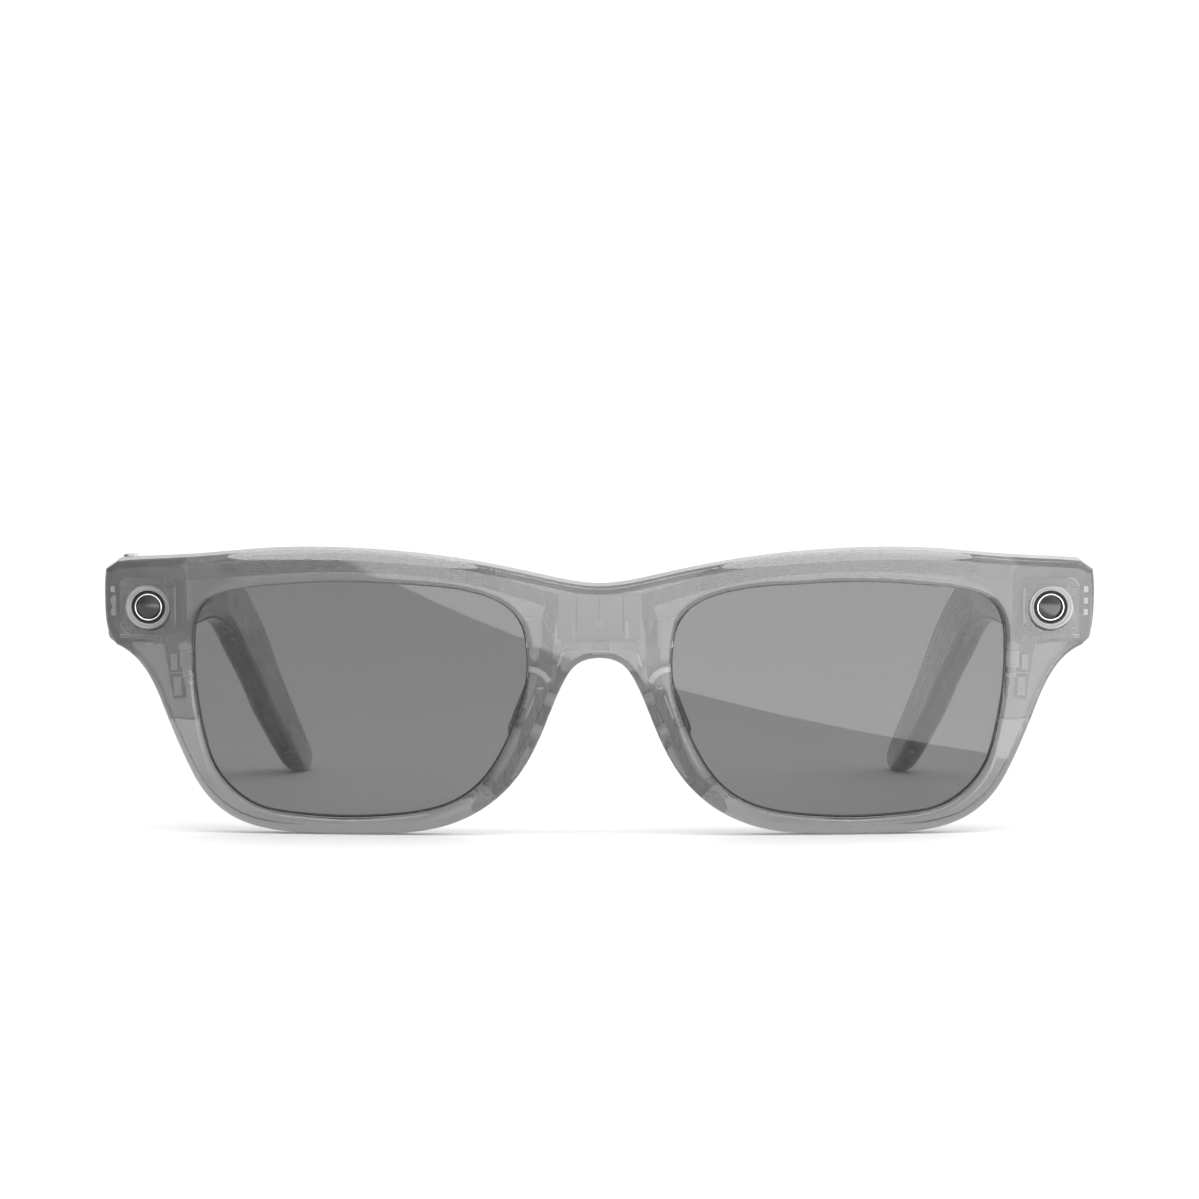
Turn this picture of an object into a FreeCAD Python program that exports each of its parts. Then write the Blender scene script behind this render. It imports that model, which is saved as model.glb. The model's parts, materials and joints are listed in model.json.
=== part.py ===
"""Smart glasses: a clear grey moulded front with two tinted lenses and two cameras, and two folding
temples that hold the battery, the main board and the speakers.

Row frame: +X is the viewer's right (the wearer's left), +Y runs back along the temples, +Z is up.
The glasses stand open on a table on the two rim bottoms and the two temple tips.
Millimetres throughout.
"""

import FreeCAD
import Part
import math
import os
from FreeCAD import Vector as V

os.makedirs("parts", exist_ok=True)

# ---------------------------------------------------------------- driving dimensions
WRAP_RADIUS = 320.0        # the front is bent round a vertical cylinder of this radius
PANTO_ANGLE = 8.0          # the front leans back at its foot by this angle
FRONT_HEIGHT = 43.5        # height on the front's own plane that stays at y = 0
RIM_DEPTH = 4.8            # thickness of the front, lens rims included
COVER_DEPTH = 1.6          # thickness of the rear cover inside that depth
FRONT_EDGE_R = 1.1         # rounding of the front's outer front edge
BACK_EDGE_R = 0.8
LENS_EDGE_R = 0.9
LENS_FRONT = 1.5           # depth of the lens's front face behind the rim's front face
LENS_THICK = 1.9
LENS_GROOVE = 0.5          # how far the lens sits in the rim all round
BOND_GAP = 0.04            # thickness of the clear bond round a lens and under the rear cover

CAMERA_X = 68.6            # camera axis, on the front's own plane
CAMERA_H = 33.65
CAMERA_FLANGE = 8.8        # square flange of the camera housing
CAMERA_BODY = 7.2
CAMERA_RING_R = 3.5        # clear outer ring
CAMERA_RING_INNER_R = 2.5
CAMERA_TRIM_R = 2.1        # bright trim ring
CAMERA_LENS_R = 1.85
CAMERA_FLANGE_FRONT = 9.3  # depths of the module's steps, from the front's own plane
CAMERA_BODY_FRONT = 10.1
CAMERA_BODY_BACK = 14.6
CAMERA_BOARD_BACK = 15.2
CAMERA_WELL_R = 2.6        # bore of the housing, which holds the lens barrel
CAMERA_WELL_BACK = 12.0
CAMERA_BARREL_R = 2.5
CAMERA_BARREL_BACK = 11.0
CAMERA_DOME_R = 4.0        # radius of curvature of the lens's front
CAMERA_DOME_FRONT = 7.75

JOINT_Y = 19.0             # split between end piece and temple
BLOCK_X = (62.6, 75.1)     # end piece block behind the front
BLOCK_Z = (29.0, 41.1)
TEMPLE_IN_X = 68.9         # inner face of a temple, on the line that carries its inner parts
TEMPLE_IN_Y = 16.0
TEMPLE_TOE_IN = 3.6        # degrees
HINGE_X = 65.2
HINGE_Y = 20.6
KNUCKLE_R = 1.55
KNUCKLE_H = 1.5
KNUCKLE_GAP = 0.1
KNUCKLE_Z0 = 31.0
PIN_R = 0.8
PIN_CLEARANCE = 0.04
LEAF_THICK = 1.1
FRONT_LEAF_X = 63.2        # inner edge of the hinge plate let into the end piece
FRONT_LEAF_WIDTH = 7.4
FRONT_LEAF_DEPTH = 1.3

BAY_Y = (31.0, 76.0)       # electronics bay of a temple
BAY_Z = (31.8, 39.0)
BAY_DEPTH = 3.4
COVER_WINDOW_Y = (29.5, 77.5)
COVER_WINDOW_Z = (31.0, 39.7)
COVER_THICK = 1.0          # inner cover of a temple

BUTTON_X = 73.1            # capture button, on the top of the wearer's right temple
BUTTON_Y = 25.5
BUTTON_LENGTH = 6.4
BUTTON_WIDTH = 1.8
BUTTON_TOP = 42.3
BUTTON_TRAVEL = 0.4
BUTTON_FIT = 0.08          # running clearance of the button in its pocket, each side
BUTTON_FOOT = 1.1          # depth of the button's foot under the temple's top
BUTTON_POCKET = 2.9        # depth of the pocket
BUTTON_SWITCH_GAP = 0.3    # left over the switch when the button is fully down
BUTTON_SWITCH_LENGTH = 5.0
BUTTON_SWITCH_WIDTH = 1.6
SWITCH_Y = 40.0            # power switch, inside the wearer's left temple
SWITCH_Z = 35.0
SWITCH_TRAVEL = 2.0
PAD_R = 2.4                # nose pads
PAD_DEPTH = 4.9
CONTACT_R = 0.9            # charging contacts on the back of the bridge
CONTACT_X = 3.4
CONTACT_H = 31.5
CONTACT_FACE = 4.95        # depth of the contacts' flat face

# ---------------------------------------------------------------- outlines, on the front's own plane (x, h)
# Half of the front's outline in runs: along the brow, over the corner, down the end piece,
# and round the rim to the nose.
BROW_HALF = [
    (0, 38.1), (9, 39.5), (18.5, 41.4), (29, 42.7), (40, 43.2), (51, 42.8), (62, 41.6), (70.5, 40.9),
    (73.3, 40.6),
]
END_CORNER = [(73.3, 40.6), (75.15, 39.3)]
END_EDGE = [(75.15, 39.3), (75.4, 36.6), (75.4, 33.5), (74.9, 29.6), (73.6, 27.6)]
LOWER_HALF = [
    (73.6, 27.6), (70.8, 25.8), (68.3, 22.3), (66.2, 17.3), (63.1, 9.9), (60.2, 5.0), (55.9, 1.5), (48, -0.4),
    (40.6, -0.6), (33.2, -0.4), (24.1, 0.8), (17.4, 3.9), (12.5, 8.6), (8.5, 16), (5.4, 23.4), (3.4, 26.1),
    (0, 27.1),
]
LENS_OUTLINE = [
    (30.8, 38.2), (41, 38.3), (50.4, 37.5), (56.2, 36.5), (59.6, 34.9), (61.3, 32.1), (61.8, 28.4),
    (61.7, 22.2), (60.5, 14.4), (58.8, 9.2), (55.9, 5.6), (51.8, 3.1), (46.6, 2.2), (38.8, 1.9),
    (31, 2.4), (23.3, 4.1), (18.6, 7.1), (14.5, 12.9), (12, 19.1), (10.9, 23.3), (10.8, 28.5),
    (11.9, 32.6), (14.5, 35.2), (18, 36.7), (23.1, 37.7),
]
# Zone of one lower rim that the rear cover leaves out.
LOWER_RIM_ZONE = [(95, 18.4), (57, 15.8), (40, 12), (26, 9), (18.0, 6.6), (23.0, -4), (95, -6)]
# Lower edge of the brow's bevel, as (x, distance below the brow's top edge).
BROW_BEVEL = [(8, -1.2), (15, 0.1), (22, 0.95), (32, 1.25), (44, 1.25), (53, 1.0), (60, 0.1), (68, -1.2)]
FLEX_BROW = [(62.4, 39.0), (55, 39.7), (41, 40.8), (28, 40.4), (18, 38.9), (9, 36.3), (0, 34.6)]
FLEX_NOSE = [(6.5, 35.5), (8.0, 30), (8.2, 24.5), (9.9, 18.5), (13.1, 11.5), (16.6, 6.4)]
FLEX_END = [(65.4, 29.2), (64.6, 24.5), (63.9, 19.5)]
FLEX_WIDTH = 2.2

# Stations of a temple, from the split to the tip: upper edge (y, z), lower edge (y, z), inner x, thickness.
TEMPLE_STATIONS = [
    ((19.2, 41.3), (19.2, 28.7), 68.7, 6.65),
    ((30, 41.3), (30, 28.9), 68.05, 6.5),
    ((50, 41.3), (50, 29.4), 66.75, 6.1),
    ((70, 41.0), (69, 30.0), 65.3, 5.4),
    ((84, 40.0), (81, 30.2), 63.9, 4.8),
    ((95, 37.4), (89, 28.2), 62.5, 4.5),
    ((105, 33.0), (98, 22.9), 60.9, 4.4),
    ((115, 27.3), (107, 17.5), 59.3, 4.3),
    ((125, 20.5), (117, 11.7), 57.9, 4.3),
    ((135, 13.0), (127, 5.9), 56.0, 4.2),
    ((142, 7.4), (134.5, 1.4), 54.4, 4.0),
    ((145.9, 4.1), (140.5, -0.1), 53.6, 3.6),
    ((147.6, 2.7), (144.8, 0.6), 53.5, 2.8),
]
CORE_STATIONS = (5, 11)    # first and last station of the metal core in a temple's hook
SECTION_R = 1.45


# ---------------------------------------------------------------- helpers
def mirrored(shape):
    return shape.mirror(V(0, 0, 0), V(1, 0, 0))


def closed_curve_face(points):
    """A face on the front's own plane inside a smooth closed curve through (x, h) points."""
    curve = Part.BSplineCurve()
    curve.interpolate([V(x, 0, h) for x, h in points], PeriodicFlag=True)
    return Part.Face(Part.Wire(curve.toShape()))


def polygon_face(points):
    corners = [V(*p) for p in points]
    return Part.Face(Part.makePolygon(corners + corners[:1]))


def through(face, depth=60.0):
    """The face carried along the depth axis, well past both faces of the front."""
    moved = face.copy()
    moved.translate(V(0, -20, 0))
    return moved.extrude(V(0, depth, 0))


def grown(points, distance):
    """A closed outline moved outwards by a distance, point by point."""
    result = []
    count = len(points)
    area = sum(points[i][0] * points[(i + 1) % count][1] - points[(i + 1) % count][0] * points[i][1]
               for i in range(count))
    side = 1 if area > 0 else -1
    for i in range(count):
        ax, ah = points[i - 1]
        bx, bh = points[(i + 1) % count]
        length = math.hypot(bx - ax, bh - ah)
        x, h = points[i]
        result.append((x + side * distance * (bh - ah) / length, h - side * distance * (bx - ax) / length))
    return result


def band_face(points, width):
    """A strip of constant width along an open smooth curve through (x, h) points."""
    sides = ([], [])
    last = len(points) - 1
    for i, (x, h) in enumerate(points):
        ax, ah = points[max(i - 1, 0)]
        bx, bh = points[min(i + 1, last)]
        length = math.hypot(bx - ax, bh - ah)
        nx, nh = -(bh - ah) / length, (bx - ax) / length
        for side, sign in zip(sides, (1, -1)):
            side.append(V(x + sign * nx * width / 2, 0, h + sign * nh * width / 2))
    curves = []
    for side in sides:
        curve = Part.BSplineCurve()
        curve.interpolate(side)
        curves.append(curve.toShape())
    ends = [Part.makeLine(sides[0][k], sides[1][k]) for k in (0, -1)]
    return Part.Face(Part.Wire(Part.__sortEdges__([curves[0], ends[1], curves[1], ends[0]])))


def slab(front, back):
    """The layer of the bent front between two depths behind its front face."""
    outer = Part.makeCylinder(WRAP_RADIUS - front, 80, V(0, WRAP_RADIUS, -15))
    inner = Part.makeCylinder(WRAP_RADIUS - back, 80, V(0, WRAP_RADIUS, -15))
    return outer.cut(inner).common(Part.makeBox(200, 60, 80, V(-100, -20, -15)))


def rounded_box(size, low, radius, axis="y"):
    """A box with the four edges along one axis rounded."""
    box = Part.makeBox(*size, V(*low))
    index = "xyz".index(axis)
    edges = [e for e in box.Edges if abs(tuple(e.tangentAt(e.FirstParameter))[index]) > 0.99]
    return box.makeFillet(radius, edges)


def pill(length, width, low_z, high_z, x, y):
    """A rod with round ends, lying along Y, between two heights."""
    half = length / 2 - width / 2
    body = Part.makeBox(width, 2 * half, high_z - low_z, V(x - width / 2, y - half, low_z))
    for end in (-half, half):
        body = body.fuse(Part.makeCylinder(width / 2, high_z - low_z, V(x, y + end, low_z)))
    return body.removeSplitter()


def to_row(shape):
    """From the front's own frame (x, depth, height) to the row frame, leaning by the pantoscopic angle."""
    placed = shape.copy()
    placed.rotate(V(0, 0, 0), V(1, 0, 0), PANTO_ANGLE)
    placed.translate(V(0, FRONT_HEIGHT * math.sin(math.radians(PANTO_ANGLE)), 0))
    return placed


def to_temple(shape):
    """From the straight temple frame, whose inner face is a plane, to the toed-in temple."""
    placed = shape.copy()
    placed.rotate(V(TEMPLE_IN_X, TEMPLE_IN_Y, 0), V(0, 0, 1), TEMPLE_TOE_IN)
    return placed


def wrap_depth(x):
    return WRAP_RADIUS - math.sqrt(WRAP_RADIUS ** 2 - x ** 2)


nodes = {}


# ---------------------------------------------------------------- front
def curve_edge(points):
    curve = Part.BSplineCurve()
    curve.interpolate([V(x, 0, h) for x, h in points])
    return curve.toShape()


def outline_face():
    """The front's whole outline: brow, two end pieces, and the lower edge over both rims and the nose."""
    other = [[(-x, h) for x, h in reversed(half)] for half in (BROW_HALF, END_CORNER, END_EDGE, LOWER_HALF)]
    runs = [other[0] + BROW_HALF[1:], END_CORNER, END_EDGE, LOWER_HALF + other[3][1:], other[2], other[1]]
    return Part.Face(Part.Wire(Part.__sortEdges__([curve_edge(run) for run in runs])))


def edges_at_depth(shape, depth):
    """Edges that lie on the bent front's layer at a depth."""
    found = []
    for edge in shape.Edges:
        low, high = edge.ParameterRange
        samples = [edge.valueAt(low + (high - low) * k / 6) for k in range(7)]
        if all(abs(math.hypot(p.x, WRAP_RADIUS - p.y) - (WRAP_RADIUS - depth)) < 0.02 for p in samples):
            found.append(edge)
    return found


def brow_top(x):
    """Height of the brow's top edge, read between the outline's own points."""
    for (ax, ah), (bx, bh) in zip(BROW_HALF, BROW_HALF[1:]):
        if ax <= x <= bx:
            return ah + (bh - ah) * (x - ax) / (bx - ax)
    return BROW_HALF[-1][1]


def brow_bevel_cutter():
    """Everything above a 45 degree ramp that starts along the bevel's lower edge on the front face."""
    low = [V(x, 0, brow_top(x) - drop - wrap_depth(x)) for x, drop in BROW_BEVEL]
    curve = Part.BSplineCurve()
    curve.interpolate(low)
    first, last = low[0], low[-1]
    top_first, top_last = V(first.x, 0, 60), V(last.x, 0, 60)
    wire = Part.Wire([curve.toShape(), Part.makeLine(last, top_last), Part.makeLine(top_last, top_first),
                      Part.makeLine(top_first, first)])
    return Part.Face(wire).extrude(V(0, 30, 30))


def front_plate():
    """The bent front with its lens openings, rounded edges and brow bevels."""
    plate = through(outline_face()).common(slab(0, RIM_DEPTH))
    plate = plate.makeFillet(FRONT_EDGE_R, edges_at_depth(plate, 0))
    plate = plate.makeFillet(BACK_EDGE_R, edges_at_depth(plate, RIM_DEPTH))
    opening = through(closed_curve_face(LENS_OUTLINE))
    for cutter in (opening, mirrored(opening)):
        plate = plate.cut(cutter)
        ring = [e for d in (0, RIM_DEPTH) for e in edges_at_depth(plate, d) if on_lens(e, cutter)]
        plate = plate.makeFillet(LENS_EDGE_R, ring)
    for cutter in (brow_bevel_cutter(), mirrored(brow_bevel_cutter())):
        plate = plate.cut(cutter)
    return plate


def on_lens(edge, cutter):
    """True for an edge on the wall that a lens cutter made."""
    middle = edge.valueAt(sum(edge.ParameterRange) / 2)
    return cutter.distToShape(Part.Vertex(middle))[0] < 0.01 and not cutter.isInside(middle, 0.02, False)


def end_block():
    """The block behind the +X end of the front that carries the camera module and the hinge."""
    size = (BLOCK_X[1] - BLOCK_X[0], JOINT_Y - 4, BLOCK_Z[1] - BLOCK_Z[0])
    block = rounded_box(size, (BLOCK_X[0], 4, BLOCK_Z[0]), 1.6)
    rim = [e for e in block.Edges if e.BoundBox.YMin > JOINT_Y - 0.01]
    block = block.makeFillet(0.5, rim)
    return block.common(to_row(slab(1.7, 30)))


def local_cylinder(radius, x, h, front, back):
    return Part.makeCylinder(radius, back - front, V(x, front, h), V(0, 1, 0))


def local_box(x, h, width, height, front, back, corner=0.0):
    size = (width, back - front, height)
    low = (x - width / 2, front, h - height / 2)
    return rounded_box(size, low, corner) if corner else Part.makeBox(*size, V(*low))


def camera_parts():
    """The +X camera: housing, clear outer ring, trim ring, domed lens and board, in the front's own frame."""
    x, h = CAMERA_X, CAMERA_H
    front, step = CAMERA_FLANGE_FRONT, CAMERA_BODY_FRONT
    flange = local_box(x, h, CAMERA_FLANGE, CAMERA_FLANGE, front, step, 1.2)
    body = local_box(x, h, CAMERA_BODY, CAMERA_BODY, step, CAMERA_BODY_BACK, 0.8)
    well = local_cylinder(CAMERA_WELL_R, x, h, front, CAMERA_WELL_BACK)
    carrier = local_box(x, h, 5.6, 5.6, CAMERA_WELL_BACK, CAMERA_WELL_BACK + 0.3)
    parts = {"camera_housing": flange.fuse(body).cut(well).removeSplitter().fuse(carrier)}
    ring = local_cylinder(CAMERA_RING_R, x, h, 2, front)
    ring = ring.cut(local_cylinder(CAMERA_RING_INNER_R, x, h, 2, front))
    parts["camera_outer_ring"] = ring.common(slab(0.25, 30))
    trim = local_cylinder(CAMERA_TRIM_R, x, h, 2, front).cut(local_cylinder(CAMERA_LENS_R, x, h, 2, front))
    parts["camera_trim_ring"] = trim.common(slab(0.1, 30))
    ball = Part.makeSphere(CAMERA_DOME_R, V(x, CAMERA_DOME_FRONT + CAMERA_DOME_R, h))
    dome = local_cylinder(CAMERA_LENS_R, x, h, 2, front).common(ball)
    barrel = local_cylinder(CAMERA_BARREL_R, x, h, front, CAMERA_BARREL_BACK)
    parts["camera_lens"] = dome.fuse(barrel).removeSplitter()
    parts["camera_sensor"] = local_box(x, h, 3.4, 3.0, CAMERA_WELL_BACK - 0.7, CAMERA_WELL_BACK)
    board = local_box(x, h, CAMERA_BODY, CAMERA_BODY, CAMERA_BODY_BACK, CAMERA_BOARD_BACK, 0.8)
    parts["camera_board"] = board
    return parts


def camera_pocket():
    x, h = CAMERA_X, CAMERA_H
    front, step = CAMERA_FLANGE_FRONT, CAMERA_BODY_FRONT
    pocket = local_box(x, h, CAMERA_FLANGE, CAMERA_FLANGE, front, step, 1.2)
    pocket = pocket.fuse(local_box(x, h, CAMERA_BODY, CAMERA_BODY, step, CAMERA_BOARD_BACK, 0.8))
    return pocket.fuse(local_cylinder(CAMERA_RING_R + BOND_GAP, x, h, -5, front)).removeSplitter()


def knuckles(numbers, radius=KNUCKLE_R):
    """Hinge knuckles, counted up from the lowest, as solids round the +X hinge axis."""
    pitch = KNUCKLE_H + KNUCKLE_GAP
    feet = [V(HINGE_X, HINGE_Y, KNUCKLE_Z0 + n * pitch) for n in numbers]
    return [Part.makeCylinder(radius, KNUCKLE_H, foot) for foot in feet]


def fused(shapes):
    result = shapes[0].multiFuse(shapes[1:]) if len(shapes) > 1 else shapes[0]
    return result.removeSplitter()


HINGE_TOP = KNUCKLE_Z0 + 5 * KNUCKLE_H + 4 * KNUCKLE_GAP
PIN_HOLE = Part.makeCylinder(PIN_R + PIN_CLEARANCE, 12, V(HINGE_X, HINGE_Y, KNUCKLE_Z0 - 1))


def front_leaf():
    """Plate let into the back of the end piece, with the three outer knuckles."""
    feet = [V(HINGE_X - 1.35, JOINT_Y - 0.3, ring.BoundBox.ZMin) for ring in knuckles((0, 2, 4))]
    arms = [Part.makeBox(2.7, HINGE_Y - JOINT_Y, KNUCKLE_H, foot) for foot in feet]
    return fused([front_leaf_plate()] + arms + knuckles((0, 2, 4))).cut(PIN_HOLE)


def front_leaf_plate():
    low = V(FRONT_LEAF_X, JOINT_Y - FRONT_LEAF_DEPTH, KNUCKLE_Z0)
    return Part.makeBox(FRONT_LEAF_WIDTH, FRONT_LEAF_DEPTH, HINGE_TOP - KNUCKLE_Z0, low)


def screw(place, direction, head_r, head_h, shaft_r, length, recessed=True):
    """A screw whose head starts at a place and whose shaft points along a direction, with a cross recess."""
    axis = V(*direction)
    head = Part.makeCylinder(head_r, head_h, V(*place), axis)
    shaft = Part.makeCylinder(shaft_r, length, V(*place), axis)
    solid = head.fuse(shaft).removeSplitter()
    if not recessed:
        return solid
    arm = Part.makeBox(head_r * 1.2, head_r * 0.3, head_h * 0.5, V(-head_r * 0.6, -head_r * 0.15, 0))
    other = Part.makeBox(head_r * 0.3, head_r * 1.2, head_h * 0.5, V(-head_r * 0.15, -head_r * 0.6, 0))
    cross = arm.fuse(other)
    cross.Placement = FreeCAD.Placement(V(*place), FreeCAD.Rotation(V(0, 0, 1), axis))
    return solid.cut(cross)


def front_leaf_screws(recessed=True):
    return [screw((69.2, JOINT_Y, z), (0, -1, 0), 0.85, 0.5, 0.45, 2.0, recessed) for z in (32.6, 37.4)]


def hinge_pin():
    """The hinge screw: head on top of the knuckles, shank through all five."""
    top = HINGE_TOP + 0.5
    length = top - KNUCKLE_Z0 + 0.1
    return screw((HINGE_X, HINGE_Y, top), (0, 0, -1), 1.25, 0.5, PIN_R, length)


def temple_leaf():
    """Plate let into the temple's inner face, with the two middle knuckles."""
    arms = [Part.makeBox(4.6, 2.2, KNUCKLE_H, V(HINGE_X, HINGE_Y - 1.1, ring.BoundBox.ZMin))
            for ring in knuckles((1, 3))]
    return fused([temple_leaf_plate()] + arms + knuckles((1, 3))).cut(PIN_HOLE)


def temple_leaf_plate():
    plate = Part.makeBox(LEAF_THICK, 9.6, HINGE_TOP - KNUCKLE_Z0, V(TEMPLE_IN_X, HINGE_Y - 1.1, KNUCKLE_Z0))
    return to_temple(plate)


def temple_leaf_screws(recessed=True):
    places = ((25.6, 32.8), (27.8, 37.2))
    return [to_temple(screw((TEMPLE_IN_X, y, z), (1, 0, 0), 0.85, 0.5, 0.45, 3.2, recessed))
            for y, z in places]


# ---------------------------------------------------------------- temples
def section(station, core=None):
    """A rounded rectangle across a temple at one station, or the metal core's small rectangle."""
    (uy, uz), (ly, lz), inner, thick = station
    up = V(0, uy - ly, uz - lz)
    height = up.Length
    up.normalize()
    low = V(inner, ly, lz)
    across = V(1, 0, 0)
    if core:
        middle = low + up * (height / 2) + across * (thick / 2)
        corners = [middle + across * (sx * core[0] / 2) + up * (sz * core[1] / 2)
                   for sx, sz in ((-1, -1), (1, -1), (1, 1), (-1, 1))]
        return Part.makePolygon(corners + corners[:1])
    r = min(SECTION_R, thick * 0.36, height * 0.36)
    edges = []
    turns = [(across, up, low), (up, across * -1, low + across * thick),
             (across * -1, up * -1, low + across * thick + up * height), (up * -1, across, low + up * height)]
    spans = [thick, height, thick, height]
    for (along, side, corner), span in zip(turns, spans):
        start, end = corner + along * r, corner + along * (span - r)
        edges.append(Part.makeLine(start, end))
        centre = end + side * r
        middle = centre + (along - side) * (r / math.sqrt(2))
        edges.append(Part.Arc(end, middle, corner + along * span + side * r).toShape())
    return Part.Wire(edges)


def temple_solid():
    return Part.makeLoft([section(s) for s in TEMPLE_STATIONS], True, False)


def temple_core():
    first, last = CORE_STATIONS
    return Part.makeLoft([section(s, core=(1.1, 2.6)) for s in TEMPLE_STATIONS[first:last]], True, False)


def temple_box(u, y, z, corner=0.0, axis="x"):
    """A box in the straight temple frame: depth range from the inner face, y range and z range."""
    size = (u[1] - u[0], y[1] - y[0], z[1] - z[0])
    low = (TEMPLE_IN_X + u[0], y[0], z[0])
    box = rounded_box(size, low, corner, axis) if corner else Part.makeBox(*size, V(*low))
    return to_temple(box)


def speaker_slots():
    rows = (65.4, 67.2, 69.0, 70.8, 72.6)
    slots = [temple_box((-1, COVER_THICK + 0.1), (y, y + 0.7), (32.9, 35.9)) for y in rows]
    return fused(slots)


def temple_shell_and_cover(openings):
    """Splits a temple into its outer shell, hollow over the bay, and the cover on its inner face."""
    solid = temple_solid()
    window = temple_box((-2, COVER_THICK), COVER_WINDOW_Y, COVER_WINDOW_Z, 1.5)
    bay = temple_box((COVER_THICK, COVER_THICK + BAY_DEPTH), BAY_Y, BAY_Z, 0.8)
    cover = solid.common(window)
    shell = solid.cut(window).cut(bay).cut(temple_core()).cut(temple_leaf())
    for piece in temple_leaf_screws(recessed=False):
        shell = shell.cut(piece)
    for opening in openings:
        cover = cover.cut(opening)
    return shell, cover


def shared_temple_parts():
    """Parts that both temples hold, for the +X side."""
    shell, cover = temple_shell_and_cover([speaker_slots()])
    parts = {"outer_shell": shell, "inner_cover": cover}
    parts["hinge_leaf"] = temple_leaf().cut(temple_leaf_screws(recessed=False))
    parts["hinge_leaf_screws"] = Part.makeCompound(temple_leaf_screws())
    parts["tip_core"] = temple_core()
    parts["speaker"] = temple_box((1.35, 4.2), (64.6, 74.4), (32.2, 36.8), 1.0)
    parts["speaker_mesh"] = temple_box((1.0, 1.3), (64.8, 74.2), (32.4, 36.6), 0.8)
    return parts


def left_temple():
    """Wearer's left, +X: battery, power switch, microphone and antenna."""
    parts = shared_temple_parts()
    y, z, half = SWITCH_Y, SWITCH_Z, SWITCH_TRAVEL / 2
    slot = temple_box((-1, COVER_THICK + 0.01), (y - half - 1.4, y + half + 1.4), (z - 0.9, z + 0.9), 0.85)
    parts["inner_cover"] = parts["inner_cover"].cut(slot)
    knob = temple_box((-0.55, 1.06), (y - half - 1.3, y - half + 1.3), (z - 0.82, z + 0.82), 0.75)
    plate = temple_box((1.06, 1.36), (y - half - 1.9, y - half + 1.9), (z - 1.3, z + 1.3), 0.4)
    parts["power_switch_slider"] = knob.fuse(plate).removeSplitter()
    parts["power_switch_body"] = temple_box((1.45, 3.1), (y - 4.2, y + 4.2), (z - 1.9, z + 1.9), 0.5)
    parts["battery"] = temple_box((1.15, 4.2), (46.0, 63.4), (32.2, 38.0), 1.0)
    parts["antenna_flex"] = temple_box((1.2, 4.2), (46.0, 74.0), (38.5, 38.75))
    parts["microphone"] = temple_box((1.0, 2.1), (31.6, 34.6), (34.0, 36.0), 0.3)
    return parts


def right_temple():
    """Wearer's right, built on +X and mirrored later: main board, touch sensor and capture button."""
    parts = shared_temple_parts()
    top = TEMPLE_STATIONS[0][0][1]
    length, width = BUTTON_LENGTH + 2 * BUTTON_FIT, BUTTON_WIDTH + 2 * BUTTON_FIT
    floor, foot = top - BUTTON_POCKET, top - BUTTON_FOOT
    pocket = pill(length, width, floor, top + 2, BUTTON_X, BUTTON_Y)
    collar = pill(BUTTON_LENGTH + 1.2, BUTTON_WIDTH + 1.2, top - 0.5, top + 0.35, BUTTON_X, BUTTON_Y)
    parts["outer_shell"] = parts["outer_shell"].cut(pocket).cut(collar)
    parts["button_bezel"] = collar.cut(pocket)
    button = pill(BUTTON_LENGTH, BUTTON_WIDTH, foot, BUTTON_TOP, BUTTON_X, BUTTON_Y)
    rim = [e for e in button.Edges if e.BoundBox.ZMin > BUTTON_TOP - 0.01]
    parts["capture_button"] = button.makeFillet(0.35, rim)
    switch_top = foot - BUTTON_TRAVEL - BUTTON_SWITCH_GAP
    length, width = BUTTON_SWITCH_LENGTH, BUTTON_SWITCH_WIDTH
    parts["button_switch"] = pill(length, width, floor, switch_top, BUTTON_X, BUTTON_Y)
    parts["main_board"] = temple_box((1.2, 1.8), (33.0, 62.0), (32.2, 38.4), 0.4)
    parts["processor_shield"] = temple_box((1.8, 3.3), (36.0, 49.0), (33.0, 37.6), 0.3)
    parts["memory_chip"] = temple_box((1.8, 2.8), (51.5, 59.5), (33.4, 37.2))
    parts["touchpad_sensor"] = temple_box((3.8, 4.2), (34.0, 62.0), (32.4, 38.2), 0.6)
    return parts


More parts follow.
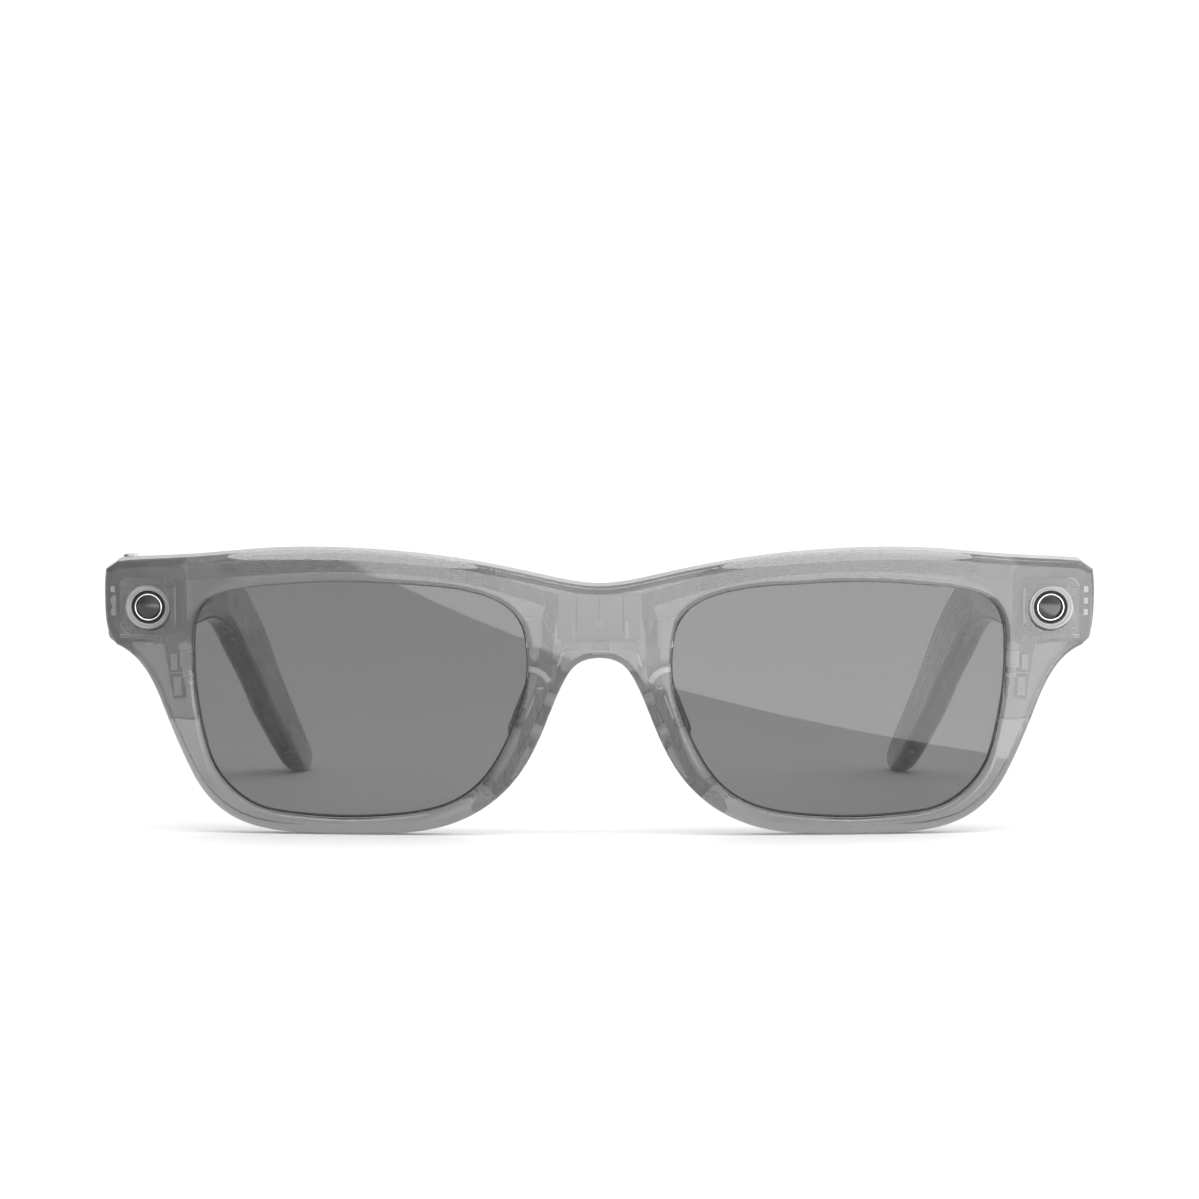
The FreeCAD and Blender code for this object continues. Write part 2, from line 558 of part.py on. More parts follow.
# ---------------------------------------------------------------- build
def build_front():
    blank = front_plate()
    lens = through(closed_curve_face(grown(LENS_OUTLINE, LENS_GROOVE)))
    lens = lens.common(slab(LENS_FRONT, LENS_FRONT + LENS_THICK))
    groove = through(closed_curve_face(grown(LENS_OUTLINE, LENS_GROOVE + BOND_GAP)))
    groove = groove.common(slab(LENS_FRONT - BOND_GAP, LENS_FRONT + LENS_THICK + BOND_GAP))
    blank = to_row(blank.cut(groove).cut(mirrored(groove)))
    cover_depth = RIM_DEPTH - COVER_DEPTH
    zone = through(polygon_face([(x, 0, h) for x, h in LOWER_RIM_ZONE]), 80)
    cover_zone = to_row(slab(cover_depth, 40).cut(zone).cut(mirrored(zone)))
    block = end_block()
    blank = blank.fuse([block, mirrored(block)])
    pocket = to_row(camera_pocket())
    light = local_box(73.9, CAMERA_H, 0.7, 3.0, 5, 20).common(slab(1.0, cover_depth))
    strips = [through(band_face(run, FLEX_WIDTH)) for run in (FLEX_BROW, FLEX_NOSE, FLEX_END)]
    strips += [mirrored(s) for s in strips]
    layer = slab(cover_depth - 0.35, cover_depth)
    flex = to_row(fused([s.common(layer) for s in strips]))
    contact = local_cylinder(CONTACT_R, CONTACT_X, CONTACT_H, cover_depth + 0.1, CONTACT_FACE)
    contact = to_row(contact)
    mic = to_row(local_cylinder(0.7, 0, CONTACT_H - 2.2, cover_depth + 0.1, RIM_DEPTH))
    plate, screws = front_leaf_plate(), Part.makeCompound(front_leaf_screws(recessed=False))
    cutters = []
    for piece in (pocket, contact, plate, screws):
        cutters += [piece, mirrored(piece)]
    light = mirrored(to_row(light))
    whole = blank.cut(cutters + [mic, light])
    nodes["front_frame"] = whole.cut(cover_zone).cut(flex)
    nodes["rear_cover"] = whole.common(cover_zone).common(to_row(slab(cover_depth + BOND_GAP, 40)))
    nodes["front_flex"] = flex
    nodes["recording_light"] = light
    nodes["bridge_microphone"] = mic
    both("lens", to_row(lens))
    both("charging_contact", contact)
    for name, shape in camera_parts().items():
        both(name, to_row(shape))
    both("nose_pad", to_row(nose_pad()))
    both("hinge_front_leaf", front_leaf().cut(screws))
    both("hinge_front_leaf_screws", Part.makeCompound(front_leaf_screws()))
    both("hinge_screw", hinge_pin())


def nose_pad():
    """A moulded pad on the back of the nose side: a round-ended bar sunk into the skin."""
    upper, lower = V(8.0, PAD_DEPTH, 24.4), V(11.5, PAD_DEPTH, 15.4)
    bar = Part.makeCylinder(PAD_R, (lower - upper).Length, upper, lower - upper)
    ends = [Part.makeSphere(PAD_R, end) for end in (upper, lower)]
    return bar.multiFuse(ends).removeSplitter().cut(slab(-2, RIM_DEPTH + BOND_GAP))


def both(name, shape):
    """Files a +X part as the wearer's left one, and its mirror image as the right one."""
    nodes[name + "_left"] = shape
    nodes[name + "_right"] = mirrored(shape)


def export(shift):
    for name, shape in sorted(nodes.items()):
        placed = shape.copy()
        placed.translate(shift)
        solids = placed.Solids
        out = solids[0] if len(solids) == 1 else Part.makeCompound(solids)
        out.exportStep("parts/" + name + ".step")
        box = out.optimalBoundingBox(False)
        print(name, len(solids), out.isValid(), round(out.Volume, 2),
              [round(v, 2) for v in (box.XMin, box.XMax, box.YMin, box.YMax, box.ZMin, box.ZMax)])


def main():
    build_front()
    for name, shape in left_temple().items():
        nodes["temple_left_" + name] = shape
    for name, shape in right_temple().items():
        nodes["temple_right_" + name] = mirrored(shape)
    for moving, plain in (("temple_left_power_switch_slider", "power_switch_slider"),
                          ("temple_right_capture_button", "capture_button")):
        nodes[plain] = nodes.pop(moving)
    whole = Part.makeCompound(list(nodes.values())).optimalBoundingBox(False)
    export(V(0, -(whole.YMin + whole.YMax) / 2, -whole.ZMin))
    print("shift", -(whole.YMin + whole.YMax) / 2, -whole.ZMin, "size", whole.YLength, whole.ZLength)


main()
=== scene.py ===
import bpy
import bmesh
import json
import math
from mathutils import Matrix, Vector
from mathutils.bvhtree import BVHTree


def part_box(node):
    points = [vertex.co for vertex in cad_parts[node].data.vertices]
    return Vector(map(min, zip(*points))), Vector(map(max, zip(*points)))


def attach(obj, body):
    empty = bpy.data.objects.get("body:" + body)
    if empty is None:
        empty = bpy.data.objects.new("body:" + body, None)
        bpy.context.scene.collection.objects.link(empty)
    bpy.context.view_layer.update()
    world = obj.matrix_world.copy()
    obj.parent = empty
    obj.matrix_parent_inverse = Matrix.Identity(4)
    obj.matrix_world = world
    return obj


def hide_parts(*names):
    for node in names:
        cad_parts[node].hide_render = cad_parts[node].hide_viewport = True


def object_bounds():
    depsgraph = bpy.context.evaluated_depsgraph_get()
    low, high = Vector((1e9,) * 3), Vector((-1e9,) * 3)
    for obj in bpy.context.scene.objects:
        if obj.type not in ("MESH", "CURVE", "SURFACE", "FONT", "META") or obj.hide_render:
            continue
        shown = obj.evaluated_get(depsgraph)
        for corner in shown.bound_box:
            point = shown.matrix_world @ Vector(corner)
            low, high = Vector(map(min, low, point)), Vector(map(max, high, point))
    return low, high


bl_info = {
    "name": "Smart Glasses",
    "version": (1, 0, 0),
    "blender": (4, 2, 0),
    "location": "View3D > Sidebar > Smart Glasses",
    "description": "Finishes and fine parts for clear smart glasses, built around their packed frame",
    "category": "Add Mesh",
}

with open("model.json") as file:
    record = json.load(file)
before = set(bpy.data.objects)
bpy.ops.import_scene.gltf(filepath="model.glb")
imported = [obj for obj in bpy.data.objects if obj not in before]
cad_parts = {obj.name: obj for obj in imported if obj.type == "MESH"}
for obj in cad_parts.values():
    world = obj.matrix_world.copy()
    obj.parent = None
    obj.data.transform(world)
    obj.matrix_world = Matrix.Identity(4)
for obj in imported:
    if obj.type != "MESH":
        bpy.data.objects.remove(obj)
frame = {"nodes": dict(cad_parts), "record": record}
CAD_LOW, CAD_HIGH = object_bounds()
MM = 0.001
SIDES = (("left", 1), ("right", -1))
MOUNTS = {m["name"]: m for m in frame["record"]["mounts"]}
ACROSS = Vector((1, 0, 0))
BACK = Vector(MOUNTS["charging_contact_left_face"]["axis"]).normalized()
UP = ACROSS.cross(BACK)
FINISHES = {}
TREES = {}
TOE = math.radians(3.6)      # how far each temple turns from straight back
RAY_START = 0.05            # how far in front of the glasses a search begins
GRAIN_RATIO = 12            # how much wider the drift of colour is than the fine grain
ROUGH_SWING = 0.2           # share by which roughness drifts either way
BUMP_DEPTH = 0.1 * MM


# ------------------------------------------------------------------ settings
class GlassesStage(bpy.types.PropertyGroup):
    distance: bpy.props.FloatProperty(
        name="Camera Distance", description="From the camera to the front of the glasses",
        default=0.6008, unit="LENGTH", subtype="DISTANCE")
    height: bpy.props.FloatProperty(
        name="Camera Height", description="Height of the camera over the table",
        default=0.0551, unit="LENGTH", subtype="DISTANCE")
    pitch: bpy.props.FloatProperty(
        name="Camera Pitch", description="How far the camera looks down",
        default=math.radians(1.82), unit="ROTATION", subtype="ANGLE")
    focal: bpy.props.FloatProperty(
        name="Focal Length", description="Focal length on a 36 mm wide sensor, in millimetres",
        default=120.34)
    floor_color: bpy.props.FloatVectorProperty(
        name="Floor", description="Colour of the table top", default=(0.93, 0.93, 0.93), subtype="COLOR")
    room: bpy.props.FloatProperty(
        name="Room Light", description="Strength of the light from the pale room", default=1.17)
    sweep: bpy.props.FloatProperty(
        name="Room Sweep", description="How far the room's light rises to the right and falls to the left",
        default=0.72)
    panel: bpy.props.FloatProperty(
        name="Table Panel", description="Brightness of the plain soft light panel lying in front",
        default=2.9)


class GlassesFinish(bpy.types.PropertyGroup):
    plastic: bpy.props.FloatVectorProperty(
        name="Frame Plastic", description="What the clear plastic lets through in one thickness",
        default=(0.34, 0.343, 0.347), subtype="COLOR")
    plastic_depth: bpy.props.FloatProperty(
        name="Plastic Depth", description="Thickness of plastic that tints light to the frame colour",
        default=0.0048, unit="LENGTH", subtype="DISTANCE")
    lens: bpy.props.FloatVectorProperty(
        name="Lens Tint", description="What the lens lets through in its own thickness",
        default=(0.17, 0.172, 0.175), subtype="COLOR")
    lens_depth: bpy.props.FloatProperty(
        name="Lens Depth", description="Thickness that tints light to the lens colour",
        default=0.0019, unit="LENGTH", subtype="DISTANCE")
    chrome: bpy.props.FloatVectorProperty(
        name="Chrome", description="Colour of the camera trim and the button's bezel",
        default=(0.83, 0.83, 0.84), subtype="COLOR")


class GlassesDetail(bpy.types.PropertyGroup):
    ring_steps: bpy.props.IntProperty(
        name="Ring Steps", description="Steps round each turned part", default=64)
    seal: bpy.props.FloatProperty(
        name="Lens Seal", description="Radius of the seal round each lens",
        default=0.0001, unit="LENGTH", subtype="DISTANCE")
    trace: bpy.props.FloatProperty(
        name="Trace Width", description="Width of a conductor on the flexible circuit",
        default=0.00016, unit="LENGTH", subtype="DISTANCE")


# ------------------------------------------------------------------ where things are
def middle(node):
    low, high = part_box(node)
    return (Vector(low) + Vector(high)) / 2


def extent(node):
    low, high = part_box(node)
    return Vector(high) - Vector(low)


def tree(node):
    if node not in TREES:
        TREES[node] = BVHTree.FromObject(frame["nodes"][node], bpy.context.evaluated_depsgraph_get())
    return TREES[node]


def front_hit(node, x, z):
    """Where a line straight back at x and z first meets a node, or None."""
    return tree(node).ray_cast(Vector((x, CAD_LOW.y - RAY_START, z)), Vector((0, 1, 0)))[0]


def face_point(node, x, z, depth=0.0):
    """The point on a node's front face at x and z, moved back by a depth."""
    hit = front_hit(node, x, z)
    if hit is None:
        raise RuntimeError(f"{node} has no front face at {x}, {z}")
    return hit + BACK * depth


# ------------------------------------------------------------------ shapes
def millimetres(profile):
    """A run of points given in millimetres, in the frame's metres."""
    return [(r * MM, d * MM) for r, d in profile]


def turned(bm, profile, origin, axis, steps, index=0):
    """Turns an open or closed run of (radius, distance along the axis) points into a ring or knob."""
    helper = axis.orthogonal().normalized()
    before = set(bm.faces)
    verts = [bm.verts.new(origin + helper * r + axis * d) for r, d in profile]
    edges = [bm.edges.new(pair) for pair in zip(verts, verts[1:])]
    bmesh.ops.spin(bm, geom=verts + edges, cent=origin, axis=axis, dvec=(0, 0, 0), angle=math.tau,
                   steps=steps, use_merge=True)
    for face in set(bm.faces) - before:
        face.material_index = index
        face.smooth = True


def block(bm, centre, size, axes=(ACROSS, BACK, UP), bevel=0.0, index=0):
    """A block of a size along three axes, with its edges rounded."""
    turn = Matrix((axes[0], axes[1], axes[2])).transposed().to_4x4()
    place = Matrix.Translation(centre) @ turn @ Matrix.Diagonal((size[0], size[1], size[2], 1))
    made = bmesh.ops.create_cube(bm, size=1.0, matrix=place)
    faces = {f for v in made["verts"] for f in v.link_faces}
    if bevel:
        edges = list({e for v in made["verts"] for e in v.link_edges})
        done = bmesh.ops.bevel(bm, geom=edges, offset=bevel, segments=2, profile=0.5, affect="EDGES",
                               material=-1)
        faces = {f for f in faces if f.is_valid} | set(done["faces"])
    for face in faces:
        face.material_index = index
    return faces


def tube(bm, points, radius, sides=8, closed=False, flat=1.0, index=0):
    """A round or flattened strip along points, joined ring by ring."""
    rings, count = [], len(points)
    for i, point in enumerate(points):
        if closed:
            along = points[(i + 1) % count] - points[i - 1]
        else:
            along = points[min(i + 1, count - 1)] - points[max(i - 1, 0)]
        along.normalize()
        side = along.cross(BACK).normalized()
        deep = side.cross(along)
        turn = Matrix((side, deep * flat, along)).transposed().to_4x4()
        made = bmesh.ops.create_circle(bm, segments=sides, radius=radius, cap_ends=False,
                                       matrix=Matrix.Translation(point) @ turn)
        rings.append(list({e for v in made["verts"] for e in v.link_edges}))
    pairs = list(zip(rings, rings[1:])) + ([(rings[-1], rings[0])] if closed else [])
    for first, second in pairs:
        for face in bmesh.ops.bridge_loops(bm, edges=first + second)["faces"]:
            face.material_index = index
            face.smooth = True
    if not closed:
        for ring in (rings[0], rings[-1]):
            for face in bmesh.ops.contextual_create(bm, geom=ring)["faces"]:
                face.material_index = index


def piece(name, bm, body, finishes):
    """Turns a finished bmesh into a named piece that rides on a body."""
    bmesh.ops.remove_doubles(bm, verts=bm.verts, dist=1e-7)
    bmesh.ops.recalc_face_normals(bm, faces=bm.faces)
    mesh = bpy.data.meshes.new(name)
    bm.to_mesh(mesh)
    bm.free()
    obj = bpy.data.objects.new(name, mesh)
    bpy.context.scene.collection.objects.link(obj)
    for look in finishes:
        mesh.materials.append(FINISHES[look])
    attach(obj, body)
    return obj


# ------------------------------------------------------------------ finishes
def finish(name, color, roughness=0.4, metallic=0.0, grain=900.0, bump=0.02, spread=0.06, **sockets):
    """A surface with fine grain: its colour and roughness drift a little, and a bump makes it uneven."""
    material = bpy.data.materials.new(name)
    material.use_nodes = True
    nodes, links = material.node_tree.nodes, material.node_tree.links
    shader = nodes["Principled BSDF"]
    place = nodes.new("ShaderNodeTexCoord")
    fine = nodes.new("ShaderNodeTexNoise")
    fine.inputs["Scale"].default_value = grain
    fine.inputs["Detail"].default_value = 4
    broad = nodes.new("ShaderNodeTexNoise")
    broad.inputs["Scale"].default_value = grain / GRAIN_RATIO
    links.new(place.outputs["Object"], fine.inputs["Vector"])
    links.new(place.outputs["Object"], broad.inputs["Vector"])
    drift = nodes.new("ShaderNodeMix")
    drift.data_type = "RGBA"
    drift.inputs["A"].default_value = (*[c * (1 - spread) for c in color], 1)
    drift.inputs["B"].default_value = (*[min(1, c * (1 + spread)) for c in color], 1)
    links.new(broad.outputs["Fac"], drift.inputs["Factor"])
    links.new(drift.outputs["Result"], shader.inputs["Base Color"])
    rough = nodes.new("ShaderNodeMapRange")
    rough.inputs["To Min"].default_value = roughness * (1 - ROUGH_SWING)
    rough.inputs["To Max"].default_value = roughness * (1 + ROUGH_SWING)
    links.new(fine.outputs["Fac"], rough.inputs["Value"])
    links.new(rough.outputs["Result"], shader.inputs["Roughness"])
    if bump:
        uneven = nodes.new("ShaderNodeBump")
        uneven.inputs["Strength"].default_value = bump
        uneven.inputs["Distance"].default_value = BUMP_DEPTH
        links.new(fine.outputs["Fac"], uneven.inputs["Height"])
        links.new(uneven.outputs["Normal"], shader.inputs["Normal"])
    shader.inputs["Metallic"].default_value = metallic
    for socket, value in sockets.items():
        shader.inputs[socket.replace("_", " ")].default_value = value
    FINISHES[name] = material
    return material


def clear_finish(name, through, depth, roughness, grain, surface=(0.97, 0.97, 0.97), share=1.0, **sockets):
    """A clear solid: its tint comes from how far light travels inside it, and share is how clear it is."""
    material = finish(name, surface, roughness, grain=grain, bump=0, spread=0.02, IOR=1.49, **sockets)
    shader = material.node_tree.nodes["Principled BSDF"]
    shader.inputs["Transmission Weight"].default_value = share
    inside = material.node_tree.nodes.new("ShaderNodeVolumeAbsorption")
    densest = max(-math.log(c) for c in through)
    inside.inputs["Color"].default_value = (*[1 + math.log(c) / densest for c in through], 1)
    inside.inputs["Density"].default_value = densest / depth
    output = material.node_tree.nodes["Material Output"]
    material.node_tree.links.new(inside.outputs["Volume"], output.inputs["Volume"])
    return material


class GLASSES_OT_finishes(bpy.types.Operator):
    """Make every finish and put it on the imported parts"""
    bl_idname = "glasses.finishes"
    bl_label = "Finishes"

    def execute(self, context):
        look = context.scene.glasses_finish
        clear_finish("frame plastic", look.plastic, look.plastic_depth, 0.05, 500,
                     (0.66, 0.662, 0.666), 0.92, Coat_Weight=0.3, Coat_Roughness=0.03)
        clear_finish("pad silicone", (0.90, 0.90, 0.905), 0.0048, 0.2, 500, (0.9, 0.9, 0.9), 0.95)
        clear_finish("lens tint", look.lens, look.lens_depth, 0.015, 300)
        clear_finish("ring plastic", (0.6, 0.6, 0.605), 0.003, 0.10, 900, (0.52, 0.52, 0.525), 0.55)
        finish("chrome trim", look.chrome, 0.12, 1.0, 1500, 0.02)
        finish("camera glass", (0.006, 0.006, 0.008), 0.24, grain=700, bump=0.004, Coat_Weight=0.25, IOR=1.55)
        finish("black baffle", (0.012, 0.012, 0.014), 0.5, grain=2500, bump=0.08)
        finish("module black", (0.035, 0.036, 0.04), 0.42, grain=2500, bump=0.06)
        finish("module grey", (0.26, 0.262, 0.268), 0.42, grain=2500, bump=0.06)
        finish("smoke film", (0.20, 0.202, 0.206), 0.35, grain=1800, bump=0.04)
        finish("pale film", (0.50, 0.502, 0.506), 0.30, grain=1800, bump=0.03)
        finish("dark film", (0.03, 0.031, 0.033), 0.32, grain=1800, bump=0.03)
        finish("white guide", (0.96, 0.96, 0.96), 0.28, grain=1400, bump=0.02)
        finish("copper trace", (0.47, 0.455, 0.44), 0.34, 0.0, 1600, 0.03)
        finish("solder mask", (0.03, 0.075, 0.055), 0.35, grain=1500, bump=0.05)
        finish("brushed steel", (0.56, 0.56, 0.57), 0.30, 1.0, 2200, 0.08)
        finish("battery wrap", (0.46, 0.465, 0.47), 0.34, 0.5, 700, 0.05)
        finish("gold plate", (0.80, 0.62, 0.30), 0.22, 1.0, 1500, 0.03)
        finish("button satin", (0.34, 0.345, 0.35), 0.18, 1.0, 1200, 0.02)
        worn = {
            "clear_plastic": "frame plastic", "lens_glass": "lens tint", "camera_glass": "camera glass",
            "ring_glass": "ring plastic", "chrome": "chrome trim", "button_plastic": "button satin",
            "housing_plastic": "module grey", "sensor_silicon": "camera glass", "flex_film": "pale film",
            "circuit_board": "solder mask", "shield_steel": "brushed steel", "battery_foil": "battery wrap",
            "mesh_steel": "brushed steel", "gold_contact": "gold plate", "light_guide": "white guide",
            "core_wire": "brushed steel", "hinge_steel": "brushed steel",
        }
        for part in frame["record"]["subparts"]:
            mesh = frame["nodes"][part["node"]].data
            mesh.materials.clear()
            pad = part["node"].startswith("nose_pad")
            mesh.materials.append(FINISHES["pad silicone" if pad else worn[part["material_slot"]]])
        return {"FINISHED"}


# ------------------------------------------------------------------ pieces on the front
def lens_ring(node, count=160, halvings=16):
    """Points (x, z) round a lens's edge, found by widening a search from its middle."""
    centre, ring = middle(node), []
    for k in range(count):
        angle = k * math.tau / count
        inner, outer = 0.0, extent(node).x
        for _ in range(halvings):
            r = (inner + outer) / 2
            x, z = centre.x + r * math.cos(angle), centre.z + r * math.sin(angle)
            inner, outer = (inner, r) if front_hit(node, x, z) is None else (r, outer)
        ring.append((centre.x + inner * math.cos(angle), centre.z + inner * math.sin(angle)))
    return ring


class GLASSES_OT_lens_seals(bpy.types.Operator):
    """Lay the thin dark seal round each lens, where it meets the rim"""
    bl_idname = "glasses.lens_seals"
    bl_label = "Lens Seals"

    def execute(self, context):
        radius = context.scene.glasses_detail.seal
        inwards = 0.75 * MM
        for side, _ in SIDES:
            node = "lens_" + side
            centre = middle(node)
            points = []
            for edge_x, edge_z in lens_ring(node):
                inset = 1 - inwards / math.hypot(edge_x - centre.x, edge_z - centre.z)
                x, z = centre.x + (edge_x - centre.x) * inset, centre.z + (edge_z - centre.z) * inset
                points.append(face_point(node, x, z, -radius))
            bm = bmesh.new()
            tube(bm, points, radius, 6, closed=True)
            piece("lens_seal_" + side, bm, "front", ["module black"])
        return {"FINISHED"}


class GLASSES_OT_camera_trims(bpy.types.Operator):
    """Turn the parts round each camera: clear outer ring, black baffle, bright trim and dark dome"""
    bl_idname = "glasses.camera_trims"
    bl_label = "Camera Trims"

    def execute(self, context):
        steps = context.scene.glasses_detail.ring_steps
        for side, _ in SIDES:
            lens = middle("camera_lens_" + side)
            front = face_point("camera_lens_" + side, lens.x, lens.z)
            axis = -BACK
            origin = lens + BACK * (front - lens).dot(BACK)
            # each profile is a run of (radius, distance in front of the camera lens), in millimetres
            clear = [(2.56, -0.9), (2.56, 0.0), (2.66, 0.12), (2.8, 0.12), (2.88, 0.02), (2.94, 0.02),
                     (3.02, 0.14), (3.24, 0.14), (3.3, 0.04), (3.42, 0.04), (3.48, -0.04), (3.48, -0.9),
                     (2.56, -0.9)]
            baffle = [(2.1, -0.3), (2.2, -0.55), (2.4, -0.55), (2.5, -0.1), (2.54, -0.1), (2.54, -0.9),
                      (2.1, -0.9), (2.1, -0.3)]
            curve, lift, step = 4.0, 0.02, 0.1542
            dome = [(r, lift - curve + math.sqrt(curve * curve - r * r)) for r in (step * k for k in range(13))]
            dome += [(1.85, -0.9), (0, -0.9)]
            trim = [(1.86, -0.5), (1.86, -0.04), (1.9, 0.05), (1.97, 0.08), (2.05, 0.05), (2.09, -0.04),
                    (2.09, -0.5), (1.86, -0.5)]
            for name, slot, profile, look in (("camera_clear_ring_", "ring_glass", clear, "ring plastic"),
                                              ("camera_baffle_", "housing_plastic", baffle, "black baffle"),
                                              ("camera_bright_trim_", "chrome", trim, "chrome trim"),
                                              ("camera_dome_", "camera_glass", dome, "camera glass")):
                bm = bmesh.new()
                turned(bm, millimetres(profile), origin, axis, steps)
                made = piece(name + side, bm, "front", [look])
                if slot == "ring_glass":
                    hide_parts("camera_outer_ring_" + side)
                if slot == "chrome":
                    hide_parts("camera_trim_ring_" + side)
        return {"FINISHED"}


class GLASSES_OT_end_piece_insides(bpy.types.Operator):
    """Set the small parts round each camera module: cavity edge, light squares, floor ribs and light pads"""
    bl_idname = "glasses.end_piece_insides"
    bl_label = "End Piece Insides"

    def execute(self, context):
        for side, sign in SIDES:
            cam = middle("camera_lens_" + side)

            def at(out, rise, depth):
                return face_point("front_frame", cam.x + sign * out * MM, cam.z + rise * MM, depth * MM)

            bm = bmesh.new()
            half, corner, steps, rim = 4.35, 1.7, 6, []
            for turn in range(4):
                centre = Vector((half - corner, half - corner)) @ Matrix.Rotation(turn * math.pi / 2, 2)
                for step in range(steps + 1):
                    angle = (turn + step / steps) * math.pi / 2
                    rim.append(centre + Vector((math.cos(angle), math.sin(angle))) * corner)
            start = cam + BACK * ((at(-3.9, 0, 0) - cam).dot(BACK) + 2.7 * MM)
            points = [start + ACROSS * (p.x * MM) + UP * (p.y * MM) for p in rim]
            tube(bm, points, 0.11 * MM, 6, closed=True)
            guide = start + ACROSS * (-sign * 4.15 * MM)
            points = [guide + UP * (k * MM) + BACK * (-0.3 * MM) for k in (-2.6, 0, 2.2, 3.0)]
            tube(bm, points, 0.2 * MM, 8, index=1)
            piece("cavity_edge_" + side, bm, "front", ["pale film", "white guide"])
            bm = bmesh.new()
            for rise in (2.3, 0.55, -1.2):
                block(bm, at(5.45, rise, 1.5), (0.7 * MM, 0.2 * MM, 0.95 * MM), bevel=0.06 * MM)
            pads = ((-5.55, -8.4, 1.6, 2.7), (-3.9, -8.9, 1.1, 2.6), (-4.4, -12.6, 1.3, 3.0))
            for out, rise, width, height in pads:
                block(bm, at(out, rise, 2.4), (width * MM, 0.15 * MM, height * MM), bevel=0.05 * MM, index=1)
            block(bm, at(-4.4, -10.5, 1.9), (2.3 * MM, 0.12 * MM, 0.13 * MM), index=0)
            block(bm, at(-5.6, -10.9, 2.2), (1.0 * MM, 0.15 * MM, 0.8 * MM), bevel=0.05 * MM, index=2)
            piece("light_pads_" + side, bm, "front", ["white guide", "pale film", "dark film"])
            bm = bmesh.new()
            ribs = ((1.2, -4.75, 6.6, 0), (1.4, -5.1, 6.4, 1), (0.9, -5.95, 3.4, 0))
            for out, rise, width, index in ribs:
                block(bm, at(out, rise, 2.1), (width * MM, 0.3 * MM, 0.2 * MM), bevel=0.05 * MM, index=index)
            piece("cavity_ribs_" + side, bm, "front", ["white guide", "dark film"])
        return {"FINISHED"}


class GLASSES_OT_flex_traces(bpy.types.Operator):
    """Draw the conductors along the flexible circuit in the brow"""
    bl_idname = "glasses.flex_traces"
    bl_label = "Flex Traces"

    def execute(self, context):
        width = context.scene.glasses_detail.trace
        bins = {}
        for vert in frame["nodes"]["front_flex"].data.vertices:
            if abs(vert.co.x) > 10 * MM and vert.co.z > middle("camera_lens_left").z:
                bins.setdefault(round(vert.co.x / (3 * MM)), []).append(vert.co.z)
        keys = [k for k in sorted(bins) if max(bins[k]) - min(bins[k]) > 1.6 * MM]
        bm = bmesh.new()
        for sign in (1, -1):
            run = [k for k in keys if k * sign > 4]
            for offset in (-0.7, -0.35, 0, 0.35, 0.7):
                points = []
                for k in run:
                    x, z = k * 3 * MM, (max(bins[k]) + min(bins[k])) / 2 + offset * MM
                    hit = tree("front_flex").ray_cast(Vector((x, CAD_LOW.y, z)), Vector((0, 1, 0)))[0]
                    if hit is not None:
                        points.append(hit - BACK * 0.03 * MM)
                tube(bm, points, width / 2, 4, flat=0.3)
        piece("flex_traces", bm, "front", ["copper trace"])
        return {"FINISHED"}


class GLASSES_OT_bridge_insides(bpy.types.Operator):
    """Set the panels, bars and contact carrier that show inside the bridge"""
    bl_idname = "glasses.bridge_insides"
    bl_label = "Bridge Insides"

    def execute(self, context):
        level = middle("charging_contact_left").z
        panels = (
            # across, rise, width, height, depth, finish
            (0, 1.2, 12.4, 6.9, 1.65, 0), (-6.25, 1.4, 0.14, 6.8, 1.2, 2), (-3.45, 1.9, 0.1, 5.6, 1.4, 2),
            (0, 1.9, 0.14, 5.9, 1.3, 2), (3.6, 1.9, 0.1, 5.6, 1.4, 2), (6.25, 1.4, 0.12, 6.8, 1.3, 1),
            (-3.92, -0.6, 0.22, 2.4, 0.7, 1), (4.13, -0.6, 0.5, 2.4, 0.7, 1), (0, 0.2, 0.95, 1.3, 1.1, 1),
            (0, -2.35, 12.0, 0.16, 0.9, 2), (0, -3.05, 11.6, 1.25, 1.4, 3), (-2.05, -3.2, 1.9, 1.7, 1.0, 0),
            (2.45, -3.2, 1.9, 1.7, 1.0, 0), (0.1, -3.95, 2.3, 0.55, 0.7, 1), (-9.85, -1.2, 2.4, 4.4, 1.4, 3),
            (9.85, -1.2, 2.4, 4.4, 1.4, 3), (-9.85, 1.1, 2.5, 0.16, 1.1, 1), (9.85, 1.1, 2.5, 0.16, 1.1, 1),
        )
        bm = bmesh.new()
        for across, rise, width, height, depth, index in panels:
            centre = face_point("front_frame", across * MM, level + rise * MM, depth * MM)
            block(bm, centre, (width * MM, 0.12 * MM, height * MM), bevel=0.03 * MM, index=index)
        piece("bridge_panels", bm, "front",
              ["pale film", "white guide", "dark film", "smoke film"])
        return {"FINISHED"}


